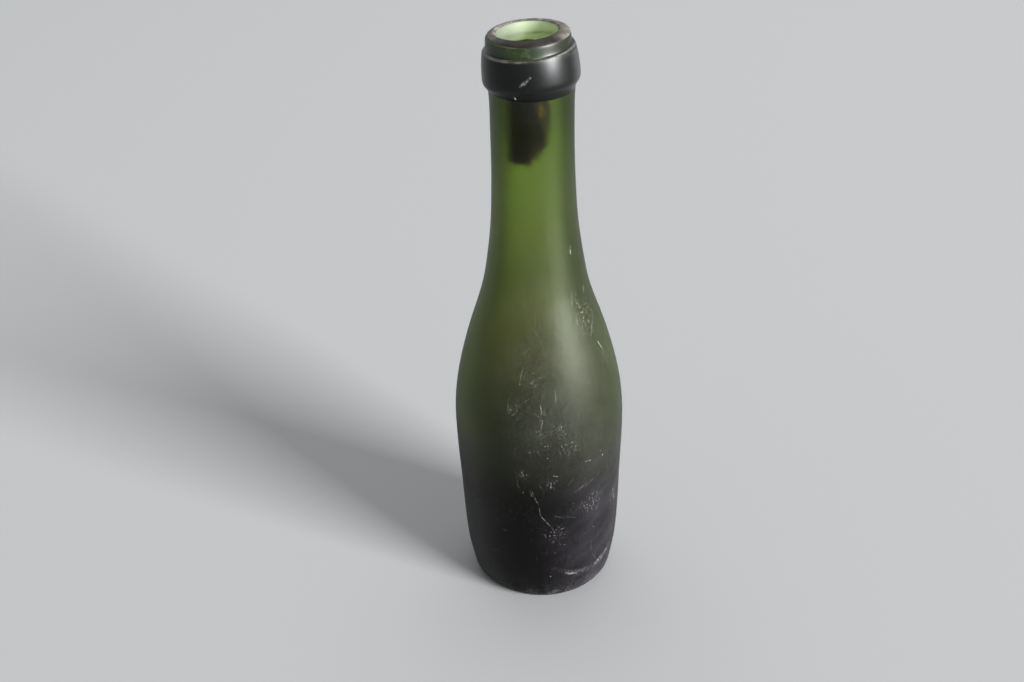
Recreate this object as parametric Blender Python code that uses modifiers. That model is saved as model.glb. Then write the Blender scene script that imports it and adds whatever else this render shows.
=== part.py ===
"""Antique wine bottle: mouth-blown green glass, a hand-applied ring below the lip, a pushed-up base
and a crust of old cork left on the inside of the neck. Metres, +Z up, origin at the middle of the
bottle's foot. The bottle is empty and open."""

import math
import random

import bmesh
import bpy
import numpy as np

MM = 0.001

# Driving dimensions, in millimetres
HEIGHT = 211.1
TURNS = 48  # flats round the bottle

# Outside of the body, shoulder and neck: (height, radius, slope of the radius)
FOOT_RADIUS = 22.0
HEEL_TOP = (5.0, 26.6, 0.27)
BODY_LOW = (18.0, 28.65, 0.08)
BODY_MID = (42.0, 29.6, 0.035)
BELLY = (69.0, 30.55, 0.0)
SHOULDER_HIGH = (94.0, 27.1, -0.245)
SHOULDER_LOW = (112.0, 21.7, -0.36)
NECK_ROOT = (127.0, 17.4, -0.18)
NECK_WAIST = (152.0, 14.3, -0.065)
NECK_TOP = (178.0, 13.65, 0.0)

# Finish: the applied ring, and the collar and rounded lip above it
RING_UNDER = 192.8
RING_LOW = 195.2
RING_HIGH = 205.8
RING_LOW_RADIUS = 15.75
RING_BARREL_RADIUS = 15.5
RING_HIGH_RADIUS = 14.9
RING_LOW_ROUND = (1.15, 1.3)  # width then height of the rounding of the ring's lower edge
RING_HIGH_ROUND = (0.3, 0.8)
LEDGE_WIDTH = 0.95
LEDGE_FALL = 0.3
RING_FRONT_RISE = 1.2  # how much higher the ring's lower edge is in front
RING_FRONT_DEG = 6.0  # where it is highest, from the front towards +X
RING_RISE_HEIGHTS = ((187.0, 0.0), (192.5, 1.0), (196.5, 1.0), (202.0, 0.0))
COLLAR_RADIUS = 13.5
COLLAR_ROOT = 1.2  # height of the fillet where the collar meets the ring
LIP_OUTER = (3.0, 1.9)  # half axes of the lip's rounding, width then height
LIP_INNER = (0.8, 0.6)

# Crookedness of the hand-made finish: (height, slope of its level along X, its +X side up)
LEAN_STATIONS = ((183.0, 0.0), (195.0, 0.044), (206.0, 0.082), (211.0, 0.05))
LEAN_PIVOT = 199.0
BORE_SHIFT = -0.4  # how far the mouth of the bore is off centre, along X
BORE_SHIFT_START = 180.0
BORE_SHIFT_RADII = (10.6, 12.4)  # the whole shift inside the first, none outside the second

# Inside
BORE_RADIUS = 9.65
BORE_DEEP_RADIUS = 9.9
BORE_DEEP = 165.0
NECK_WALL = 3.6
SHOULDER_WALL = 3.3
BODY_WALL = 3.0
LOW_WALL = 3.6
INNER_HEEL_TOP = 20.0

# Pushed-up base
FOOT_INNER_RADIUS = 19.2
PUNT_HEIGHT = 11.0
PUNT_GLASS = 4.5
INNER_GUTTER = (20.5, 8.5)  # radius and height of the lowest ring of the inside

# Crust of old cork on the front of the bore
CRUST_GAP = 0.3
CRUST_THICK = 1.5
CRUST_TOP = 202.5
CRUST_LEFT_DEG = -38.5
CRUST_RIGHT_EDGE = ((171.0, 8.0), (174.0, 15.0), (178.0, 19.0), (184.5, 28.0), (187.5, 26.0), (191.0, 16.0))
CRUST_LOWER_EDGE = ((-9.0, 171.0), (-2.0, 173.0), (15.0, 174.3))  # angle from the front, height
CRUST_EDGE = (0.22, 0.17)  # share of the half width and height that tapers to the edge
CRUST_THINNEST = 0.22
CRUST_LUMPS = 0.28
CRUST_COLUMNS = 17
CRUST_ROWS = 32
CRUST_SEED = 7


def clear_scene():
    for obj in list(bpy.data.objects):
        bpy.data.objects.remove(obj)


def curve_between(low, high, steps):
    """Points of a cubic from one (height, radius, slope) station to the next, without the last."""
    z0, r0, m0 = low
    z1, r1, m1 = high
    rise = z1 - z0
    points = []
    for step in range(steps):
        t = step / steps
        radius = (
            (2 * t**3 - 3 * t**2 + 1) * r0
            + (t**3 - 2 * t**2 + t) * rise * m0
            + (3 * t**2 - 2 * t**3) * r1
            + (t**3 - t**2) * rise * m1
        )
        points.append((radius, z0 + rise * t))
    return points


def arc(centre, size, start_deg, end_deg, steps):
    """Points of an elliptical arc, both ends included. Size is its two half axes."""
    points = []
    for step in range(steps + 1):
        angle = math.radians(start_deg + (end_deg - start_deg) * step / steps)
        points.append((centre[0] + size[0] * math.cos(angle), centre[1] + size[1] * math.sin(angle)))
    return points


def outer_side():
    """The outside from the foot up to the ring, as (radius, height)."""
    heel_z, heel_r, _ = HEEL_TOP
    points = arc((FOOT_RADIUS, heel_z), (heel_r - FOOT_RADIUS, heel_z), -90, -12, 5)
    stations = (
        (HEEL_TOP, BODY_LOW, 2),
        (BODY_LOW, BODY_MID, 2),
        (BODY_MID, BELLY, 3),
        (BELLY, SHOULDER_HIGH, 5),
        (SHOULDER_HIGH, SHOULDER_LOW, 3),
        (SHOULDER_LOW, NECK_ROOT, 4),
        (NECK_ROOT, NECK_WAIST, 3),
        (NECK_WAIST, NECK_TOP, 2),
    )
    for low, high, steps in stations:
        points += curve_between(low, high, steps)
    points.append((NECK_TOP[1], NECK_TOP[0]))
    points.append((NECK_TOP[1], RING_UNDER))
    return points


def finish():
    """The ring, the collar and the lip, up to the top of the bore, as (radius, height)."""
    low_r, low_z = RING_LOW_ROUND
    high_r, high_z = RING_HIGH_ROUND
    ring = [
        (RING_LOW_RADIUS - low_r, RING_LOW - low_z),
        (RING_LOW_RADIUS - 0.15 * low_r, RING_LOW),
        (RING_LOW_RADIUS, RING_LOW + low_z),
        (RING_BARREL_RADIUS, (RING_LOW + RING_HIGH) / 2 + high_z),
        (RING_HIGH_RADIUS, RING_HIGH - high_z),
        (RING_HIGH_RADIUS - high_r, RING_HIGH),
        (RING_HIGH_RADIUS - high_r - LEDGE_WIDTH, RING_HIGH + LEDGE_FALL),
        (COLLAR_RADIUS, RING_HIGH + COLLAR_ROOT),
    ]
    lip_centre = (COLLAR_RADIUS - LIP_OUTER[0], HEIGHT - LIP_OUTER[1])
    lip = arc(lip_centre, LIP_OUTER, 0, 90, 5)
    throat_centre = (BORE_RADIUS + LIP_INNER[0], HEIGHT - LIP_INNER[1])
    throat = arc(throat_centre, LIP_INNER, 90, 180, 3)
    return ring + lip + throat


def inner_side():
    """The inside, from the bore down to the top of the pushed-up base, as (radius, height)."""
    shoulder = (
        (NECK_WAIST, NECK_WALL),
        (NECK_ROOT, (NECK_WALL + SHOULDER_WALL) / 2),
        (SHOULDER_LOW, SHOULDER_WALL),
        (SHOULDER_HIGH, BODY_WALL),
        (BELLY, BODY_WALL),
        (BODY_MID, BODY_WALL),
    )
    stations = [(BORE_DEEP, BORE_DEEP_RADIUS, -0.03)]
    stations += [(z, radius - wall, slope) for (z, radius, slope), wall in shoulder]
    stations.append((INNER_HEEL_TOP, BODY_LOW[1] - LOW_WALL, 0.07))
    points = [(BORE_DEEP_RADIUS, BORE_DEEP)]
    for (high, low), steps in zip(zip(stations, stations[1:]), (2, 3, 3, 3, 4, 2, 2)):
        points += reversed(curve_between(low, high, steps))
    gutter_r, gutter_z = INNER_GUTTER
    side_r = stations[-1][1]
    points += arc((gutter_r, INNER_HEEL_TOP), (side_r - gutter_r, INNER_HEEL_TOP - gutter_z), -12, -90, 5)
    return points


def dome(edge_radius, edge_z, top_z, steps):
    """The push-up from its edge to the axis, a bell that eases out of the foot, as (radius, height)."""
    points = []
    for step in range(1, steps + 1):
        radius = edge_radius * (1 - step / steps)
        share = 0.5 + 0.5 * math.cos(math.pi * (radius / edge_radius) ** 1.35)
        points.append((radius, edge_z + (top_z - edge_z) * share))
    return points


def bottle_profile():
    """The half section from the axis inside, up the bore, over the lip and down to the axis below."""
    gutter_r, gutter_z = INNER_GUTTER
    inside = inner_side() + dome(gutter_r, gutter_z, PUNT_HEIGHT + PUNT_GLASS, 7)
    outside = outer_side() + finish()
    push_up = [(FOOT_INNER_RADIUS, 0.0)] + dome(FOOT_INNER_RADIUS, 0.0, PUNT_HEIGHT, 7)
    return inside[::-1] + outside[::-1] + push_up


def skew_finish(mesh):
    """Tilts the finish a little about Y and shifts its bore, as a mouth shaped by hand. The ring's lower
    edge rises in front."""
    heights, slopes = zip(*LEAN_STATIONS)
    rise_heights, rise_shares = zip(*RING_RISE_HEIGHTS)
    for vertex in mesh.vertices:
        x, y, z = vertex.co / MM
        if math.hypot(x, y) > NECK_TOP[1] - 0.1:
            facing = max(0.0, math.cos(math.atan2(x, -y) - math.radians(RING_FRONT_DEG)))
            z += RING_FRONT_RISE * facing**1.5 * float(np.interp(z, rise_heights, rise_shares))
        lean = float(np.interp(z, heights, slopes))
        rise = float(np.interp(z, (BORE_SHIFT_START, HEIGHT), (0.0, 1.0)))
        inside = float(np.interp(math.hypot(x, y), BORE_SHIFT_RADII, (1.0, 0.0)))
        vertex.co.x = (x - lean * (z - LEAN_PIVOT) + BORE_SHIFT * rise * inside) * MM
        vertex.co.z = (z + lean * x) * MM


def material(name, colour, roughness, transmission=0.0):
    made = bpy.data.materials.new(name)
    made.use_nodes = True
    shader = made.node_tree.nodes["Principled BSDF"]
    shader.inputs["Base Color"].default_value = (*colour, 1.0)
    shader.inputs["Roughness"].default_value = roughness
    shader.inputs["Metallic"].default_value = 0.0
    shader.inputs["Transmission Weight"].default_value = transmission
    return made


def applied(source, name, collection):
    """A plain mesh object with the source's modifiers applied. The source is removed."""
    graph = bpy.context.evaluated_depsgraph_get()
    mesh = bpy.data.meshes.new_from_object(source.evaluated_get(graph))
    made = bpy.data.objects.new(name, mesh)
    made.matrix_world = source.matrix_world
    collection.objects.link(made)
    bpy.data.objects.remove(source)
    mesh.name = name
    return made


def make_bottle(collection):
    points = bottle_profile()
    mesh = bpy.data.meshes.new("bottle_section")
    edges = [(i, i + 1) for i in range(len(points) - 1)]
    mesh.from_pydata([(r * MM, 0.0, z * MM) for r, z in points], edges, [])
    section = bpy.data.objects.new("bottle_section", mesh)
    collection.objects.link(section)
    screw = section.modifiers.new("turn", "SCREW")
    screw.axis = "Z"
    screw.angle = math.tau
    screw.steps = screw.render_steps = TURNS
    screw.use_merge_vertices = True
    screw.merge_threshold = 0.00005
    screw.use_smooth_shade = True
    bottle = applied(section, "bottle", collection)
    skew_finish(bottle.data)
    bottle.data.set_sharp_from_angle(angle=math.radians(40))
    bottle.data.materials.append(material("green_glass", (0.05, 0.09, 0.02), 0.3, 0.6))
    return bottle


def crust_outline(u, v):
    """Angle from the front in degrees and height of a crust point. u and v run from -1 to 1."""
    across = 0.5 + 0.5 * u
    up = 0.5 + 0.5 * v
    angles, lows = zip(*CRUST_LOWER_EDGE)
    heights, rights = zip(*CRUST_RIGHT_EDGE)
    low = np.interp(CRUST_LEFT_DEG + (angles[-1] - CRUST_LEFT_DEG) * across, angles, lows)
    height = low + (CRUST_TOP - low) * up
    right = np.interp(height, heights, rights)
    return CRUST_LEFT_DEG + (right - CRUST_LEFT_DEG) * across, height


def crust_thickness(u, v, draw):
    """Share of the full thickness: thin at the ragged edges, lumpy in between."""
    edge = min(1.0, (1 - abs(u)) / CRUST_EDGE[0], (1 - abs(v)) / CRUST_EDGE[1])
    return min(1.0, max(CRUST_THINNEST, edge * (1 + CRUST_LUMPS * (draw - 1))))


def make_crust(collection):
    draws = random.Random(CRUST_SEED)
    bm = bmesh.new()
    bmesh.ops.create_grid(bm, x_segments=CRUST_COLUMNS, y_segments=CRUST_ROWS, size=1.0)
    shares = []
    for vertex in bm.verts:
        u, v = vertex.co.x, vertex.co.y
        angle, height = crust_outline(u, v)
        down = min(max((HEIGHT - height) / (HEIGHT - BORE_DEEP), 0.0), 1.0)
        radius = BORE_RADIUS + (BORE_DEEP_RADIUS - BORE_RADIUS) * down - CRUST_GAP
        turn = math.radians(angle)
        vertex.co = (radius * MM * math.sin(turn), -radius * MM * math.cos(turn), height * MM)
        shares.append(crust_thickness(u, v, draws.uniform(-1, 1)))
    bmesh.ops.recalc_face_normals(bm, faces=bm.faces)
    bm.normal_update()
    first = next(iter(bm.faces))
    if first.normal.y > 0:
        bmesh.ops.reverse_faces(bm, faces=bm.faces)
    mesh = bpy.data.meshes.new("crust_sheet")
    bm.to_mesh(mesh)
    bm.free()
    sheet = bpy.data.objects.new("crust_sheet", mesh)
    collection.objects.link(sheet)
    group = sheet.vertex_groups.new(name="thickness")
    for index, share in enumerate(shares):
        group.add([index], share, "REPLACE")
    solidify = sheet.modifiers.new("thickness", "SOLIDIFY")
    solidify.thickness = CRUST_THICK * MM
    solidify.offset = -1.0
    solidify.vertex_group = "thickness"
    solidify.thickness_vertex_group = 0.0
    crust = applied(sheet, "cork_residue", collection)
    skew_finish(crust.data)
    crust.data.shade_flat()
    crust.data.materials.append(material("old_cork", (0.03, 0.018, 0.008), 0.9))
    return crust


def main():
    clear_scene()
    collection = bpy.data.collections.new("antique_wine_bottle")
    bpy.context.scene.collection.children.link(collection)
    make_bottle(collection)
    make_crust(collection)


main()
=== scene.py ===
"""Looks of the antique wine bottle: worn, hazed olive glass and the crust of old cork in its neck."""

import math
from collections import namedtuple

import bmesh
import bpy
from mathutils import Matrix, Vector, noise
from mathutils.bvhtree import BVHTree


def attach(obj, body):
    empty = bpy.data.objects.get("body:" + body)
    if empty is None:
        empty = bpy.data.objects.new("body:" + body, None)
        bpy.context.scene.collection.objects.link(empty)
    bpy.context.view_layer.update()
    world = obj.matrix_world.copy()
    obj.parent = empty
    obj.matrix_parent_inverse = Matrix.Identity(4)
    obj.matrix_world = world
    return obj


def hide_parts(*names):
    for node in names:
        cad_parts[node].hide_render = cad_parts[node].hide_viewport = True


MM = 0.001

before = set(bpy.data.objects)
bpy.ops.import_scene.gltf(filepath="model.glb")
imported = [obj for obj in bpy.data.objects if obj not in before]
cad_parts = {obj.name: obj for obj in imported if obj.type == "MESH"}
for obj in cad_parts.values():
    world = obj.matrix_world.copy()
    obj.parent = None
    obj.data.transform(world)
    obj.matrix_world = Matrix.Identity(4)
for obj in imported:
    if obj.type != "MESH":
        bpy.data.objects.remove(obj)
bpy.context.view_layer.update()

# Camera, at the photograph's place and angle
CAMERA_PLACE = (0.0, -0.39165, 0.33924)
CAMERA_DOWN_DEG = 31.57
CAMERA_TURN_DEG = 1.31
CAMERA_ROLL_DEG = -2.06
CAMERA_LENS = 45.7

# Stage
FLOOR_SIZE = 6.0
FLOOR_GAP = 0.05 * MM
LIT_HEIGHT = 0.11
ROOM_COLOUR = (0.90, 0.95, 1.0, 1.0)
ROOM_STRENGTH = 0.5

# Fine meshes made from the CAD nodes
GLASS_LEVELS = 2
CRUST_LEVELS = 1
WELD = 0.002 * MM
JOIN_FACES_DEG = 25
JOIN_SHAPES_DEG = 60

# Upper corners of the ring and the collar's foot, which stay crisp
CORNER_LOW = 203 * MM
CORNER_HIGH = 208.3 * MM
CORNER_RADIUS = 12.9 * MM
CORNER_DEG = 18
CORNER_CREASE = 0.6

# Inner side of the glass
PUNT_TOP = 11.5 * MM
INNER_FLOOR_TOP = 30 * MM
INNER_FLOOR_RADIUS = 25.3 * MM

# Waves of the hand-made wall
WAVE_OUTSIDE = 0.10 * MM
WAVE_INSIDE = 0.22 * MM
WAVE_OUTSIDE_SIZE = 22 * MM
WAVE_INSIDE_SIZE = 13 * MM
WAVE_LOWERED = 0.35
WAVELESS_FOOT = 3 * MM

# Crust
CRUST_INTO_WALL = 0.4 * MM
CRUST_SKIN = 0.5 * MM
CRUST_RAGGED = 0.9 * MM
CRUST_RAGGED_SIZE = 2.4 * MM
CRUST_RAGGED_START = (9, 4, 2)
CRUST_LUMPS = 0.35 * MM
CRUST_LUMP_SIZE = 1.1 * MM
CRUST_LUMP_START = (3, 8, 5)
STAIN_REACH = 5.0 * MM
STAIN_LOWEST = 160 * MM

# Glass
GLASS_IOR = 1.5
ABSORPTION_COLOUR = (0.50, 0.67, 0.03)
ABSORPTION_DENSITY = 260.0

# Heights on the glass, in mm
RING_FOOT = 193.5
MOUTH_FOOT = 196.0
MOUTH_FULL = 203.0
DARK_LINE_HEIGHT = 204.2
RING_TOP = 205.5
COLLAR_FOOT = 206.5
TOTAL = 212.0

# Outer radius in mm at heights in mm
GIRTHS = (
    (0.0, 28.0),
    (69.0, 30.5),
    (94.0, 27.1),
    (112.0, 21.7),
    (127.0, 17.4),
    (152.0, 14.3),
    (192.0, 13.8),
    (194.0, 15.6),
)

# Tints, as screen values of 0 to 255
CLEAR_HIGH = (246, 246, 226)
CLEAR_LOW = (57, 50, 53)
LONG_WAY_SHADE_BODY = (165, 155, 150)
LONG_WAY_SHADE_NECK = (138, 130, 138)
LEFT_NECK_SHADE = (125, 125, 118)
BLOOM_AND_SHEEN = (203, 190, 214)
MOUTH_GLOW = (194, 242, 98)
MOUTH_LINE_DARK = (38, 34, 12)
STAIN = (54, 44, 28)
RING_DARK_AND_SHADOW = (9, 11, 9)
COLLAR_GRIME = (38, 50, 22)
RING_DUST = (230, 226, 235)
RUBBED_EDGE = (98, 97, 86)
LIP_FRONT_DARK = (20, 16, 12)
LIP_FRONT_PALE = (34, 30, 23)
LIP_SIDE_SHEEN_DARK = (76, 73, 66)
LIP_SIDE_SHEEN_PALE = (122, 117, 108)
SCRATCH = (225, 226, 222)
CORK_DARK = (44, 31, 18)
CORK_PALE = (132, 92, 50)
FLOOR_TINT = (152, 152, 152)

# How fast a dark layer darkens with its share
COAT_GAIN = 4.0

# Share of the light that a full layer keeps from passing
SCATTER = {
    "low_inner_shade": 0.95,
    "dusty": 0.05,
    "bloom_and_sheen": 0.036,
    "mouth_glow": 0.9,
    "edge": 0.6,
    "heel": 0.18,
    "marks": 0.22,
}

# The same for the dark layers, which grow dull with the square of their share
DARK_SCATTER = {
    "stained": 0.5,
    "dark_coat": 0.75,
    "lip": 0.95,
}

# Painted shade on the inner wall dims the light, darkest at the bottom: (height in mm, share let through as
# red, green and blue)
LOW_SHADE_STOPS = (
    (25.0, (0.002, 0.001, 0.001)),
    (55.0, (0.020, 0.013, 0.003)),
    (80.0, (0.13, 0.095, 0.022)),
    (100.0, (0.31, 0.245, 0.08)),
    (125.0, (0.43, 0.41, 0.19)),
    (150.0, (0.55, 0.60, 0.31)),
    (192.0, (0.57, 0.64, 0.34)),
    (199.0, (0.98, 0.98, 0.98)),
)
LOW_SHADE_DRIFT = 20.0

# How much the skin mirrors: (height in mm, share). Low down it hardly mirrors, a painted shade that keeps the
# lower body dark.
MIRROR_STOPS = (
    (15.0, 0.05),
    (60.0, 0.07),
    (78.0, 0.13),
    (90.0, 0.20),
    (106.0, 0.28),
    (118.0, 0.23),
    (132.0, 0.17),
    (160.0, 0.20),
    (182.0, 0.10),
    (192.0, 0.10),
    (196.0, 0.36),
    (206.0, 0.50),
    (207.5, 0.95),
)

# Single scratches as (angle in degrees from the front, height in mm) at both ends, width in mm and strength
SCRATCHES = (
    ((-6.6, 55.4), (-1.5, 47.4), 0.16, 0.50),
    ((-1.5, 47.4), (-0.7, 43.1), 0.14, 0.40),
    ((-0.7, 43.1), (6.6, 37.7), 0.18, 0.65),
    ((6.6, 37.7), (9.4, 34.3), 0.16, 0.50),
    ((-7.6, 54.9), (-6.0, 52.0), 0.14, 0.50),
    ((49.3, 141.6), (47.7, 137.9), 0.20, 0.80),
    ((66.0, 126.0), (60.0, 122.8), 0.16, 0.55),
    ((59.3, 105.2), (63.6, 101.4), 0.18, 0.80),
    ((-12.3, 101.9), (-13.9, 97.9), 0.12, 0.30),
    ((-10.4, 101.0), (-11.6, 98.8), 0.12, 0.28),
    ((-22.0, 89.5), (-21.4, 85.5), 0.20, 0.26),
    ((0.9, 90.1), (2.0, 86.9), 0.14, 0.50),
    ((2.4, 84.5), (1.2, 81.0), 0.14, 0.45),
    ((-13.2, 64.1), (-10.4, 59.5), 0.20, 0.55),
    ((8.2, 61.3), (11.6, 60.7), 0.18, 0.75),
    ((6.9, 58.3), (6.8, 55.6), 0.14, 0.70),
    ((30.7, 64.4), (36.2, 63.7), 0.16, 0.60),
    ((63.1, 42.8), (66.9, 35.8), 0.20, 0.70),
    ((22.9, 51.6), (34.0, 54.6), 0.30, 0.30),
    ((31.0, 52.8), (46.0, 56.8), 0.24, 0.26),
    ((8.0, 43.0), (17.0, 40.6), 0.26, 0.24),
    ((14.0, 42.2), (26.0, 39.6), 0.22, 0.20),
    ((-29.6, 34.2), (-25.0, 34.0), 0.26, 0.40),
    ((-13.8, 198.0), (-6.0, 200.2), 0.45, 0.12),
    ((-9.0, 198.6), (0.0, 201.4), 0.40, 0.12),
    ((-22.2, 193.8), (-20.4, 194.0), 0.70, 0.55),
)
SCRATCH_MARGIN = 0.1

# Places crowded with short scratches, as (angle, height, reach in mm)
CROWDS = (
    (45.0, 122.5, 3.5),
    (54.0, 114.5, 8.0),
    (63.0, 99.0, 3.5),
    (-3.4, 97.0, 2.4),
    (-17.0, 87.0, 3.5),
    (1.2, 85.5, 3.0),
    (-0.5, 79.0, 2.5),
    (15.4, 79.7, 3.5),
    (19.0, 72.5, 4.5),
    (3.0, 74.0, 2.0),
    (-12.0, 62.0, 3.5),
    (5.0, 57.0, 4.0),
    (9.0, 34.0, 6.0),
    (64.0, 38.0, 5.0),
    (38.0, 44.0, 7.0),
)

# The pale line along the heel: its middle's angle in degrees, its lowest height and how it climbs from there
HEEL_ANGLE_DEG = 38.0
HEEL_LINE = 11.5
HEEL_CLIMB = 20.0

# What the layers need to know of a place on the glass. place is the point itself, in metres. around runs
# along the girth from the front, +X side positive, and up is the height, both in mm. radius is in mm, angle
# starts at the front, and turned is the angle without its sign. level is 1 where the surface lies flat, and
# facing grows as it turns away from the eye. inside is 1 on the inner side, outside on the outer side.
Skin = namedtuple("Skin", "place around up radius angle turned level facing inside outside")


class Graph:
    """Short calls that add nodes to a material's tree and link them."""

    def __init__(self, material):
        self.tree = material.node_tree

    def add(self, kind, inputs=(), **settings):
        node = self.tree.nodes.new(kind)
        for name, value in settings.items():
            setattr(node, name, value)
        for key, value in dict(inputs).items():
            self.plug(node.inputs[key], value)
        return node

    def plug(self, socket, value):
        if isinstance(value, bpy.types.NodeSocket):
            self.tree.links.new(value, socket)
        else:
            socket.default_value = value

    def math(self, operation, a, b=0.0, clamp=False):
        node = self.add("ShaderNodeMath", {0: a, 1: b}, operation=operation, use_clamp=clamp)
        return node.outputs[0]

    def times(self, value, *others):
        """The product of all the values."""
        for other in others:
            value = self.math("MULTIPLY", value, other)
        return value

    def plus(self, a, b):
        return self.math("ADD", a, b)

    def minus(self, a, b):
        return self.math("SUBTRACT", a, b)

    def over(self, a, b):
        return self.math("DIVIDE", a, b)

    def greater(self, a, b):
        return self.math("MAXIMUM", a, b)

    def size(self, value):
        """The value without its sign."""
        return self.math("ABSOLUTE", value)

    def length(self, a, b):
        """Length of the line with these two sides."""
        return self.math("SQRT", self.plus(self.times(a, a), self.times(b, b)))

    def span(self, value, low, high, out_low=0.0, out_high=1.0):
        """value taken from low..high to out_low..out_high, eased and held at the ends."""
        inputs = {0: value, 1: low, 2: high, 3: out_low, 4: out_high}
        return self.add("ShaderNodeMapRange", inputs, interpolation_type="SMOOTHSTEP").outputs[0]

    def mix(self, share, a, b):
        node = self.add("ShaderNodeMix", {0: share, 6: a, 7: b}, data_type="RGBA")
        return node.outputs[2]

    def blend(self, share, a, b):
        node = self.add("ShaderNodeMix", {0: share, 2: a, 3: b}, data_type="FLOAT")
        return node.outputs[0]

    def noise(self, place, scale, detail=2.0, roughness=0.5):
        inputs = {"Vector": place, "Scale": scale, "Detail": detail, "Roughness": roughness}
        return self.add("ShaderNodeTexNoise", inputs).outputs[0]

    def drift(self, amount, place, scale, detail, roughness=0.5):
        """Noise about zero, by up to half the amount each way."""
        return self.times(self.minus(self.noise(place, scale, detail, roughness), 0.5), amount)

    def ramp(self, share, stops):
        """Colour at share, between stops of (share, colour)."""
        node = self.add("ShaderNodeValToRGB", {0: share})
        points = node.color_ramp.elements
        while len(points) < len(stops):
            points.new(1.0)
        for point, (at, shade) in zip(points, stops):
            point.position = at
            point.color = (*shade[:3], 1.0)
        return node.outputs[0]

    def coat(self, share, under, over):
        """Colour under a dark layer: it darkens before the layer is dense enough to be dull."""
        return self.mix(self.math("MULTIPLY", share, COAT_GAIN, clamp=True), under, over)

    def bump(self, height, strength, distance):
        inputs = {"Height": height, "Strength": strength, "Distance": distance}
        return self.add("ShaderNodeBump", inputs).outputs[0]

    def stored(self, name):
        """A number stored at the mesh's points."""
        return self.add("ShaderNodeAttribute", attribute_name=name).outputs["Fac"]

    def point(self, x, y, z=0.0):
        return self.add("ShaderNodeCombineXYZ", {0: x, 1: y, 2: z}).outputs[0]

    def parts(self, vector):
        return self.add("ShaderNodeSeparateXYZ", {0: vector}).outputs


def colour(red, green, blue):
    """A linear colour from screen values of 0 to 255."""
    shares = [value / 255 for value in (red, green, blue)]
    linear = [s / 12.92 if s <= 0.04045 else ((s + 0.055) / 1.055) ** 2.4 for s in shares]
    return (*linear, 1.0)


def new_material(name):
    """A node material and its Principled shader."""
    material = bpy.data.materials.new(name)
    material.use_nodes = True
    return material, material.node_tree.nodes["Principled BSDF"]


def skin_of(graph):
    coordinates = graph.add("ShaderNodeTexCoord").outputs
    x, y, z = (graph.times(value, 1 / MM) for value in graph.parts(coordinates["Object"]))
    radius = graph.length(x, y)
    angle = graph.math("ARCTAN2", x, graph.times(y, -1.0))
    inside = graph.stored("inside")
    return Skin(
        place=coordinates["Object"],
        around=graph.times(angle, radius),
        up=z,
        radius=radius,
        angle=angle,
        turned=graph.size(angle),
        level=graph.size(graph.parts(coordinates["Normal"])[2]),
        facing=graph.add("ShaderNodeLayerWeight", {"Blend": 0.5}).outputs["Facing"],
        inside=inside,
        outside=graph.minus(1.0, inside),
    )


def girth_radius(height):
    """Outer radius at a height, both in mm."""
    for (low, low_radius), (high, high_radius) in zip(GIRTHS, GIRTHS[1:]):
        if height < high:
            return low_radius + (high_radius - low_radius) * (height - low) / (high - low)
    return GIRTHS[-1][1]


def away_from(graph, skin, angle, height):
    """How far a place is from a spot on the skin, given in degrees and mm: along the girth and up, in mm."""
    sideways = graph.times(graph.minus(skin.angle, math.radians(angle)), skin.radius)
    return sideways, graph.minus(skin.up, height)


def along_and_across(graph, x, y, cosine, sine):
    """A place seen from a line that runs in the direction of cosine and sine."""
    along = graph.plus(graph.times(x, cosine), graph.times(y, sine))
    across = graph.minus(graph.times(y, cosine), graph.times(x, sine))
    return along, across


def scattered(graph, skin, cell):
    """The skin in cells of a size in mm: the place in cells, and the node that draws for each cell."""
    place = graph.point(graph.over(skin.around, cell), graph.over(skin.up, cell))
    cells = graph.add("ShaderNodeTexVoronoi", {"Vector": place, "Scale": 1.0}, voronoi_dimensions="2D")
    return place, cells.outputs


def strokes(graph, skin, cell, length, width, lean, spread, share):
    """Fine scratches: in each cell of the skin, one short line of its own direction, or none. Sizes in mm."""
    place, cells = scattered(graph, skin, cell)
    away = graph.add("ShaderNodeVectorMath", {0: place, 1: cells["Position"]}, operation="SUBTRACT")
    x, y, _ = graph.parts(away.outputs[0])
    draw_a, draw_b, draw_c = graph.parts(cells["Color"])
    angle = graph.plus(graph.times(graph.minus(draw_a, 0.5), spread), lean)
    cosine, sine = graph.math("COSINE", angle), graph.math("SINE", angle)
    along, across = along_and_across(graph, x, y, cosine, sine)
    bend = graph.times(along, along, graph.minus(draw_a, 0.55), 0.4)
    line = graph.span(graph.size(graph.plus(across, bend)), width / cell, 0.25 * width / cell)
    reach = graph.times(graph.plus(draw_c, 0.2), 0.4 * length / cell)
    ends = graph.math("LESS_THAN", graph.size(along), reach)
    there = graph.math("LESS_THAN", draw_b, share)
    faint = graph.plus(graph.times(draw_a, 0.7), 0.3)
    return graph.times(line, ends, there, faint)


def specks(graph, skin, cell, size, share):
    """Pale dots: one in some of the skin's cells. Sizes in mm."""
    _, cells = scattered(graph, skin, cell)
    draw_a, draw_b, _ = graph.parts(cells["Color"])
    radius = graph.times(graph.plus(draw_a, 0.4), size / cell)
    dot = graph.span(graph.over(cells["Distance"], radius), 1.0, 0.4)
    there = graph.math("LESS_THAN", draw_b, share)
    return graph.times(dot, there, graph.plus(draw_a, 0.2))


def scratch(graph, skin, start, end, width, strength):
    """One scratch between two places on the skin, each an angle in degrees and a height in mm."""
    middle = [(a + b) / 2 for a, b in zip(start, end)]
    sideways, up = away_from(graph, skin, *middle)
    run = math.radians(end[0] - start[0]) * girth_radius(middle[1])
    rise = end[1] - start[1]
    half = 0.5 * math.hypot(run, rise)
    along, across = along_and_across(graph, sideways, up, 0.5 * run / half, 0.5 * rise / half)
    line = graph.span(graph.size(across), width, 0.3 * width)
    ends = graph.span(graph.size(along), half, 0.8 * half, 0.0, strength)
    return graph.times(line, ends)


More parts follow.
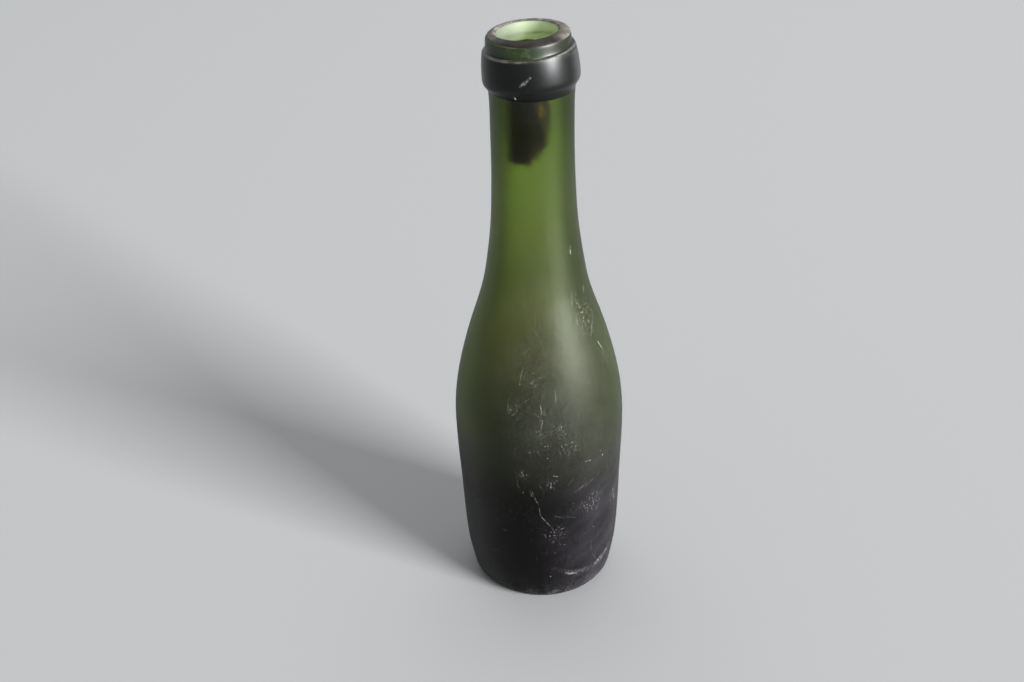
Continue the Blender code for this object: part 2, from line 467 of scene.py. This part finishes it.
def crowd(graph, skin, angle, height, reach):
    """How far a place is inside a round crowded spot of the skin, from 0 to 1."""
    sideways, up = away_from(graph, skin, angle, height)
    return graph.span(graph.length(sideways, up), reach, 0.4 * reach)


def scratched(graph, skin):
    """Share of white scratch at each place of the outer skin."""
    marks = 0.0
    for start, end, width, strength in SCRATCHES:
        marks = graph.greater(marks, scratch(graph, skin, start, end, width + SCRATCH_MARGIN, strength))

    crowded = graph.span(graph.noise(skin.place, 45.0, 3.0), 0.5, 0.72, 0.0, 0.25)
    crowded = graph.times(crowded, graph.span(skin.up, 128.0, 85.0))
    for angle, height, reach in CROWDS:
        crowded = graph.greater(crowded, crowd(graph, skin, angle, height, reach))

    fine = strokes(graph, skin, cell=1.5, length=1.5, width=0.21, lean=1.1, spread=2.6, share=0.5)
    finer = strokes(graph, skin, cell=0.9, length=0.8, width=0.17, lean=0.4, spread=6.0, share=0.45)
    long = strokes(graph, skin, cell=7.0, length=5.0, width=0.2, lean=0.9, spread=2.4, share=0.45)
    fine = graph.times(graph.greater(fine, finer), crowded, 0.75)
    long = graph.times(long, graph.span(skin.up, 140.0, 110.0, 0.0, 0.35))
    lines = graph.greater(marks, graph.greater(fine, long))
    broken = graph.span(graph.noise(skin.place, 1400.0, 2.0), 0.40, 0.58, 0.15, 1.0)

    sparse = graph.times(graph.span(skin.angle, -1.2, 0.9, 0.3, 0.9), graph.span(skin.up, 140.0, 95.0))
    sparse = graph.times(sparse, graph.span(graph.noise(skin.place, 120.0, 3.0), 0.45, 0.7))
    dots = graph.times(specks(graph, skin, cell=3.1, size=0.26, share=0.4), sparse)
    small = graph.times(specks(graph, skin, cell=0.95, size=0.16, share=0.32), crowded)
    return graph.greater(graph.times(lines, broken), graph.greater(dots, small))


def bloom_and_sheen_of(graph, skin):
    """Pale bloom low on the right, in slanting drifts: worn haze, and a painted sheen on the side the window
    lamp lights.
    """
    along = graph.plus(graph.times(skin.around, 0.055), graph.times(skin.up, 0.026))
    across = graph.minus(graph.times(skin.up, 0.18), graph.times(skin.around, 0.085))
    drifts = graph.span(graph.noise(graph.point(along, across), 1.0, 3.0), 0.28, 0.72, 0.5, 1.0)
    # Painted sheen: the bloom lies only on the right, where the window lamp falls
    zone = graph.times(graph.span(skin.angle, -0.3, 0.8), graph.span(skin.angle, 2.6, 1.8))
    return graph.times(zone, graph.span(skin.up, 78.0, 42.0), drifts)


def heel_wear(graph, skin):
    """The pale line rubbed along the heel at the front right, and the scuffed foot under it."""
    off = graph.minus(skin.angle, math.radians(HEEL_ANGLE_DEG))
    line = graph.plus(graph.times(off, off, HEEL_CLIMB), HEEL_LINE)
    near = graph.span(graph.size(graph.minus(skin.up, line)), 2.2, 0.3)
    arc = graph.times(near, graph.span(graph.size(off), 0.62, 0.25))
    foot = graph.span(skin.up, 9.0, 3.0, 0.0, 0.5)
    patchy = graph.span(graph.noise(skin.place, 1100.0, 4.0, 0.75), 0.44, 0.64)
    clouds = graph.span(graph.noise(skin.place, 160.0, 3.0), 0.36, 0.6, 0.25, 1.0)
    return graph.times(graph.greater(arc, foot), patchy, clouds)


def stain_share(graph, skin):
    """Brown stain on the inner wall round the crust."""
    stain = graph.stored("stain")
    streaks = graph.point(graph.times(skin.around, 0.4), graph.times(skin.up, 1.1))
    ragged = graph.plus(stain, graph.drift(1.3, streaks, 1.0, 4.0, 0.65))
    return graph.times(graph.span(ragged, 0.62, 1.05, 0.0, 0.9), skin.inside, graph.span(stain, 0.0, 0.3))


def dark_coat_and_shadow_share(graph, skin, ring, collar):
    """A dark coat on the ring, patchy grime on the collar and a thin painted shadow below the ring, mostly in
    front.
    """
    patchy = graph.span(graph.noise(skin.place, 240.0, 4.0, 0.6), 0.30, 0.70, 0.22, 0.29)
    dark_coat = graph.math("ADD", ring, graph.times(collar, patchy), clamp=True)
    # Painted shadow: the neck darkens just below the ring
    shadow_under_ring = graph.times(graph.span(skin.up, 176.0, 190.0), graph.span(skin.up, RING_FOOT, RING_FOOT - 1.0))
    front = graph.span(graph.size(graph.plus(skin.angle, 0.2)), 2.4, 1.2)
    return graph.times(graph.plus(dark_coat, graph.times(shadow_under_ring, 0.09)), front, skin.outside)


def edge_share(graph, skin):
    """The rubbed upper edge of the ring."""
    edge = graph.times(graph.span(skin.level, 0.2, 0.5), graph.span(skin.radius, 13.4, 13.9))
    rubbed = graph.span(graph.noise(skin.place, 500.0, 4.0, 0.65), 0.38, 0.62, 0.2, 0.7)
    return graph.times(edge, rubbed, skin.outside, graph.span(skin.up, 202.5, 203.5))


def lip_share(graph, skin):
    """The dull top of the lip."""
    lip = graph.times(graph.span(skin.level, 0.1, 0.5), graph.span(skin.radius, 13.6, 13.1))
    return graph.times(lip, graph.span(skin.up, 207.5, 208.5))


def lip_tint(graph, skin):
    """Dusty all round and darkest in front; the paler sides are a painted sheen."""
    dust = graph.span(graph.noise(skin.place, 380.0, 4.0, 0.65), 0.38, 0.66)
    front = graph.mix(dust, colour(*LIP_FRONT_DARK), colour(*LIP_FRONT_PALE))
    # Painted sheen: the sides of the lip are paler than its front
    side = graph.mix(dust, colour(*LIP_SIDE_SHEEN_DARK), colour(*LIP_SIDE_SHEEN_PALE))
    return graph.mix(graph.span(skin.turned, 0.6, 1.4), front, side)


def painted_mouth_glow(graph, skin):
    """Painted light on the wall of the mouth: pale green for light shining through from behind, strongest at
    the back.
    """
    glow_strength = graph.span(graph.math("COSINE", graph.minus(skin.angle, 2.9)), 0.55, 1.0, 0.13, 0.36)
    mouth = graph.times(graph.span(skin.up, MOUTH_FOOT, MOUTH_FULL), graph.span(skin.turned, 1.2, 1.9))
    return graph.times(mouth, glow_strength, skin.inside)


def mouth_dark_line(graph, skin):
    """A thin dark line along the back of the mouth."""
    wandering = graph.plus(skin.up, graph.drift(1.2, skin.place, 130.0, 3.0))
    line = graph.span(graph.size(graph.minus(wandering, DARK_LINE_HEIGHT)), 0.5, 0.15)
    return graph.times(line, graph.span(skin.turned, 2.35, 2.75), skin.inside)


def layers_of(graph, skin):
    """Share of each layer at each place of the glass, by name."""
    ring = graph.span(skin.up, RING_FOOT - 1.0, RING_FOOT)
    ring = graph.times(ring, graph.span(skin.up, COLLAR_FOOT, RING_TOP))
    collar = graph.times(graph.span(skin.up, RING_TOP, COLLAR_FOOT), graph.span(skin.level, 0.6, 0.2))
    ring_sides = graph.times(graph.span(skin.turned, 0.9, 1.45), ring, skin.outside)
    return {
        "low": graph.span(skin.up, 100.0, 45.0),
        # Painted shade: a dull dark sheet on the inner wall low down
        "low_inner_shade": graph.times(graph.span(skin.up, 50.0, 15.0), skin.inside),
        "bloom_and_sheen": graph.times(bloom_and_sheen_of(graph, skin), skin.outside),
        "marks": graph.times(scratched(graph, skin), skin.outside),
        "heel": graph.times(heel_wear(graph, skin), skin.outside),
        "stained": stain_share(graph, skin),
        "collar": collar,
        "ring_sides": ring_sides,
        "dusty": graph.plus(ring_sides, graph.times(collar, skin.outside, 0.35)),
        "dark_coat": dark_coat_and_shadow_share(graph, skin, ring, collar),
        "edge": edge_share(graph, skin),
        "lip": lip_share(graph, skin),
        "mouth_glow": painted_mouth_glow(graph, skin),
    }


def low_shade_tint(graph, skin):
    """Painted shade on the inner wall: dark at the bottom, nearly gone at the neck."""
    height = graph.plus(skin.up, graph.drift(LOW_SHADE_DRIFT, skin.place, 40.0, 3.0))
    return graph.ramp(graph.over(height, TOTAL), [(at / TOTAL, shade) for at, shade in LOW_SHADE_STOPS])


def outer_tint(graph, skin, layers):
    """Bare outer skin, with painted shade: darker low down, at the edges where the wall is seen along its
    length, and on the left of the neck; and bloomed, with a painted sheen.
    """
    long_way_shade = graph.mix(graph.span(skin.up, 160.0, 188.0), colour(*LONG_WAY_SHADE_BODY), colour(*LONG_WAY_SHADE_NECK))
    # Painted shade: darker where the wall is seen along its length, on top of the glass's own absorption
    long_way = graph.times(graph.span(skin.facing, 0.15, 0.42), graph.span(skin.up, 60.0, 150.0, 0.45, 1.0))
    # Painted shade: the outer skin darkens low down
    tint = graph.mix(layers["low"], colour(*CLEAR_HIGH), colour(*CLEAR_LOW))
    tint = graph.mix(graph.times(long_way, graph.minus(1.0, layers["low"])), tint, long_way_shade)
    # Painted shade: the left side of the neck is darker
    left_shade = graph.times(graph.span(skin.angle, -0.35, -0.75), graph.span(skin.angle, -2.6, -2.0))
    left_shade = graph.times(left_shade, graph.span(skin.up, 158.0, 180.0, 0.0, 0.75))
    tint = graph.mix(left_shade, tint, colour(*LEFT_NECK_SHADE))
    return graph.mix(graph.times(layers["bloom_and_sheen"], 0.28), tint, colour(*BLOOM_AND_SHEEN))


def glass_tint(graph, skin, layers):
    """Tint of the glass under all its layers."""
    # The ring's near-black also colours the painted shadow just below the ring
    dark_coat = graph.mix(layers["collar"], colour(*RING_DARK_AND_SHADOW), colour(*COLLAR_GRIME))
    tint = graph.mix(skin.inside, outer_tint(graph, skin, layers), low_shade_tint(graph, skin))
    # Painted light: pale green glow on the wall of the mouth
    tint = graph.mix(layers["mouth_glow"], tint, colour(*MOUTH_GLOW))
    tint = graph.mix(mouth_dark_line(graph, skin), tint, colour(*MOUTH_LINE_DARK))
    tint = graph.coat(layers["stained"], tint, colour(*STAIN))
    tint = graph.coat(layers["dark_coat"], tint, dark_coat)
    tint = graph.mix(layers["edge"], tint, colour(*RUBBED_EDGE))
    tint = graph.mix(graph.times(layers["ring_sides"], 0.06), tint, colour(*RING_DUST))
    tint = graph.coat(layers["lip"], tint, lip_tint(graph, skin))
    return graph.mix(graph.greater(layers["marks"], layers["heel"]), tint, colour(*SCRATCH))


def haze_share(graph, skin, layers):
    """A little light scatters at the skin, which wear has hazed, most of all low down."""
    hazed = graph.span(graph.noise(skin.place, 55.0, 4.0, 0.6), 0.3, 0.7, 0.006, 0.014)
    hazed = graph.times(hazed, skin.outside, graph.span(skin.up, 185.0, 125.0, 0.15, 1.0))
    grain_place = graph.point(graph.times(skin.around, 0.9), graph.times(skin.up, 2.4))
    grain = graph.span(graph.noise(grain_place, 1.0, 5.0, 0.75), 0.38, 0.64, 0.45, 2.0)
    return graph.times(hazed, graph.plus(graph.times(layers["low"], 1.2), 1.0), grain)


def clear_share(graph, skin, layers):
    """Share of the light that passes the layers and isn't scattered."""
    clear = graph.minus(1.0, haze_share(graph, skin, layers))
    for name, share in SCATTER.items():
        clear = graph.minus(clear, graph.times(layers[name], share))
    for name, share in DARK_SCATTER.items():
        clear = graph.minus(clear, graph.times(layers[name], layers[name], share))
    return graph.greater(clear, 0.0)


def mirror_share(graph, skin, lip):
    """A worn skin mirrors little; it mirrors least low down and along its sides, which is painted shade, and
    on the lip and in the mouth.
    """
    stops = [(at / TOTAL, (share, share, share)) for at, share in MIRROR_STOPS]
    mirror = graph.parts(graph.ramp(graph.over(skin.up, TOTAL), stops))[0]
    # Painted shade: less mirroring where the wall turns away from the eye
    mirror = graph.times(mirror, graph.span(skin.facing, 0.3, 0.85, 1.0, 0.5))
    mouth = graph.times(skin.inside, graph.span(skin.up, MOUTH_FOOT, MOUTH_FULL))
    return graph.times(mirror, graph.blend(lip, 1.0, 0.3), graph.blend(mouth, 1.0, 0.2))


def glass_roughness(graph, skin, lip):
    """The inner wall is smooth but rougher low down and in the mouth."""
    uneven = graph.blend(graph.noise(skin.place, 60.0, 4.0), -0.04, 0.04)
    outer = graph.plus(graph.span(skin.up, 150.0, 100.0, 0.42, 0.50), uneven)
    outer = graph.minus(outer, graph.span(skin.up, 186.0, 193.0, 0.0, 0.04))
    rough_low_inside = graph.span(skin.up, 175.0, 140.0, 0.12, 0.45)
    mouth = graph.span(skin.up, 190.0, 198.0, 0.12, 0.45)
    wall = graph.blend(skin.inside, outer, graph.greater(rough_low_inside, mouth))
    return graph.blend(lip, wall, 0.6)


def glass_material():
    material, shader = new_material("worn_green_glass")
    graph = Graph(material)
    skin = skin_of(graph)
    layers = layers_of(graph, skin)
    graph.plug(shader.inputs["Base Color"], glass_tint(graph, skin, layers))
    graph.plug(shader.inputs["Transmission Weight"], clear_share(graph, skin, layers))
    mirror = mirror_share(graph, skin, layers["lip"])
    graph.plug(shader.inputs["Specular Tint"], graph.point(mirror, mirror, mirror))
    graph.plug(shader.inputs["Roughness"], glass_roughness(graph, skin, layers["lip"]))

    waves = graph.noise(skin.place, 90.0, 3.0)
    grain = graph.noise(skin.place, 900.0, 2.0)
    relief = graph.plus(waves, graph.times(grain, 0.05))
    graph.plug(shader.inputs["Normal"], graph.bump(relief, 0.25, 0.4 * MM))

    shader.inputs["IOR"].default_value = GLASS_IOR
    shader.inputs["Specular IOR Level"].default_value = 0.5

    inner = graph.add("ShaderNodeVolumeAbsorption")
    inner.inputs["Color"].default_value = (*ABSORPTION_COLOUR, 1.0)
    inner.inputs["Density"].default_value = ABSORPTION_DENSITY
    output = material.node_tree.nodes["Material Output"]
    material.node_tree.links.new(inner.outputs[0], output.inputs["Volume"])
    return material


def crust_material():
    material, shader = new_material("old_cork_crust")
    graph = Graph(material)
    place = graph.add("ShaderNodeTexCoord").outputs["Object"]
    patches = graph.span(graph.noise(place, 260.0, 5.0, 0.65), 0.42, 0.66)
    graph.plug(shader.inputs["Base Color"], graph.mix(patches, colour(*CORK_DARK), colour(*CORK_PALE)))
    graph.plug(shader.inputs["Roughness"], graph.blend(patches, 0.75, 0.95))
    crumbs = graph.noise(place, 1400.0, 4.0, 0.7)
    graph.plug(shader.inputs["Normal"], graph.bump(crumbs, 0.8, 0.3 * MM))
    return material


def add_object(name, data):
    """A new object in the scene."""
    added = bpy.data.objects.new(name, data)
    bpy.context.scene.collection.objects.link(added)
    return added


def keep_crisp(bm):
    """Creases the upper corners of the ring and the foot of the collar."""
    crease = bm.edges.layers.float.new("crease_edge")
    for edge in bm.edges:
        middle = (edge.verts[0].co + edge.verts[1].co) / 2
        on_ring = CORNER_LOW < middle.z < CORNER_HIGH and math.hypot(middle.x, middle.y) > CORNER_RADIUS
        if on_ring and len(edge.link_faces) == 2 and edge.calc_face_angle() > math.radians(CORNER_DEG):
            edge[crease] = CORNER_CREASE


def fine_copy(node_name, name, levels):
    """A smooth, finely divided copy of a CAD node's mesh, as an object of its own."""
    bm = bmesh.new()
    bm.from_mesh(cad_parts[node_name].data)
    bmesh.ops.remove_doubles(bm, verts=bm.verts, dist=WELD)
    bmesh.ops.join_triangles(
        bm,
        faces=bm.faces,
        angle_face_threshold=math.radians(JOIN_FACES_DEG),
        angle_shape_threshold=math.radians(JOIN_SHAPES_DEG),
    )
    keep_crisp(bm)
    mesh = bpy.data.meshes.new(name + "_cage")
    bm.to_mesh(mesh)
    bm.free()
    cage = add_object(name + "_cage", mesh)
    subdivide = cage.modifiers.new("smooth", "SUBSURF")
    subdivide.levels = subdivide.render_levels = levels
    graph = bpy.context.evaluated_depsgraph_get()
    fine = bpy.data.meshes.new_from_object(cage.evaluated_get(graph))
    fine.name = name
    bpy.data.objects.remove(cage)
    fine.materials.clear()
    fine.shade_smooth()
    return add_object(name, fine)


def is_inside(place, normal):
    """Whether a point of the glass is on its inner side."""
    radial = math.hypot(place.x, place.y)
    if radial < 1e-6:
        return normal.z > 0
    outwards = (normal.x * place.x + normal.y * place.y) / radial
    floor = normal.z > 0.1 and place.z < INNER_FLOOR_TOP and radial < INNER_FLOOR_RADIUS
    wall = outwards < -0.1 and place.z > PUNT_TOP
    return floor or wall


def stain_of(place, crust):
    """1 on the crust, falling to 0 at STAIN_REACH from it."""
    if place.z < STAIN_LOWEST:
        return 0.0
    away = crust.find_nearest(place)[3]
    return max(0.0, 1.0 - away / STAIN_REACH)


def wave_of(place, normal, inside):
    """How far the hand-made wall waves away from its even form. The foot stays flat."""
    size, height = (WAVE_INSIDE_SIZE, WAVE_INSIDE) if inside else (WAVE_OUTSIDE_SIZE, WAVE_OUTSIDE)
    wave = noise.noise(place / size) - WAVE_LOWERED
    foot = min(1.0, place.z / WAVELESS_FOOT)
    return normal * (wave * height * foot)


def store(mesh, name, values):
    """Stores a number at each point of the mesh."""
    attribute = mesh.attributes.new(name, "FLOAT", "POINT")
    attribute.data.foreach_set("value", values)


def make_glass():
    piece = fine_copy("bottle", "glass_bottle", GLASS_LEVELS)
    mesh = piece.data
    sides = [is_inside(vertex.co, vertex.normal) for vertex in mesh.vertices]
    store(mesh, "inside", [float(side) for side in sides])
    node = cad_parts["cork_residue"].data
    crust = BVHTree.FromPolygons([v.co for v in node.vertices], [p.vertices for p in node.polygons])
    store(mesh, "stain", [stain_of(v.co, crust) if side else 0.0 for v, side in zip(mesh.vertices, sides)])
    moves = [wave_of(vertex.co, vertex.normal, side) for vertex, side in zip(mesh.vertices, sides)]
    for vertex, move in zip(mesh.vertices, moves):
        vertex.co += move
    mesh.materials.append(glass_material())
    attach(piece, "root")
    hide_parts("bottle")


def ragged(place, reach):
    """Where a point of the crust goes: ragged and lumpy, but seated in the wall on its outer side."""
    radial = Vector((place.x, place.y, 0.0)).normalized()
    sideways = Vector((-radial.y, radial.x, 0.0))
    fine = place / CRUST_RAGGED_SIZE
    rise = noise.noise(fine + Vector(CRUST_RAGGED_START))
    shift = sideways * noise.noise(fine) + Vector((0, 0, rise))
    lump = noise.noise(place / CRUST_LUMP_SIZE + Vector(CRUST_LUMP_START))
    skin = math.hypot(place.x, place.y) - (reach - CRUST_SKIN)
    into = min(max(skin / CRUST_SKIN, 0.0), 1.0)
    outwards = CRUST_INTO_WALL * into + CRUST_LUMPS * lump * (1 - into)
    return place + shift * CRUST_RAGGED + radial * outwards


def make_crust():
    piece = fine_copy("cork_residue", "cork_crust", CRUST_LEVELS)
    mesh = piece.data
    reach = max(math.hypot(v.co.x, v.co.y) for v in mesh.vertices)
    for vertex in mesh.vertices:
        vertex.co = ragged(vertex.co, reach)
    mesh.materials.append(crust_material())
    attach(piece, "root")
    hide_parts("cork_residue")


def make_floor():
    bpy.ops.mesh.primitive_plane_add(size=FLOOR_SIZE, location=(0, 0, -FLOOR_GAP))
    floor = bpy.context.object
    floor.name = "floor"
    material, shader = new_material("pale_floor")
    shader.inputs["Base Color"].default_value = colour(*FLOOR_TINT)
    shader.inputs["Roughness"].default_value = 0.9
    shader.inputs["Specular IOR Level"].default_value = 0.0
    floor.data.materials.append(material)


def area_light(name, azimuth, elevation, distance, size, power, tint):
    """A soft box aimed at the bottle. Azimuth 0 is the front, +X side positive."""
    light = bpy.data.lights.new(name, "AREA")
    light.shape = "RECTANGLE"
    light.size, light.size_y = size
    light.energy = power
    light.color = tint
    lamp = add_object(name, light)
    turn, rise = math.radians(azimuth), math.radians(elevation)
    way = Vector((math.sin(turn) * math.cos(rise), -math.cos(turn) * math.cos(rise), math.sin(rise)))
    lamp.location = Vector((0, 0, LIT_HEIGHT)) + way * distance
    lamp.rotation_euler = (-way).to_track_quat("-Z", "Y").to_euler()


def make_light():
    world = bpy.data.worlds.new("soft_room")
    world.use_nodes = True
    background = world.node_tree.nodes["Background"]
    background.inputs["Color"].default_value = ROOM_COLOUR
    background.inputs["Strength"].default_value = ROOM_STRENGTH
    bpy.context.scene.world = world
    area_light(
        "window",
        azimuth=53,
        elevation=12.9,
        distance=12.1,
        size=(4.5, 5.7),
        power=6900.0,
        tint=(0.97, 0.98, 1.0),
    )
    area_light(
        "overhead",
        azimuth=180,
        elevation=62,
        distance=2.4,
        size=(2.4, 2.0),
        power=30.0,
        tint=(1.0, 1.0, 1.0),
    )


def make_camera():
    data = bpy.data.cameras.new("camera")
    data.lens = CAMERA_LENS
    camera = add_object("camera", data)
    turn = Matrix.Rotation(math.radians(CAMERA_TURN_DEG), 4, "Z")
    tilt = Matrix.Rotation(math.radians(90 - CAMERA_DOWN_DEG), 4, "X")
    roll = Matrix.Rotation(math.radians(CAMERA_ROLL_DEG), 4, "Z")
    camera.matrix_world = Matrix.Translation(CAMERA_PLACE) @ turn @ tilt @ roll
    bpy.context.scene.camera = camera


make_camera()
make_floor()
make_light()
make_glass()
make_crust()
bpy.context.scene.view_settings.view_transform = "Standard"

bpy.context.view_layer.update()
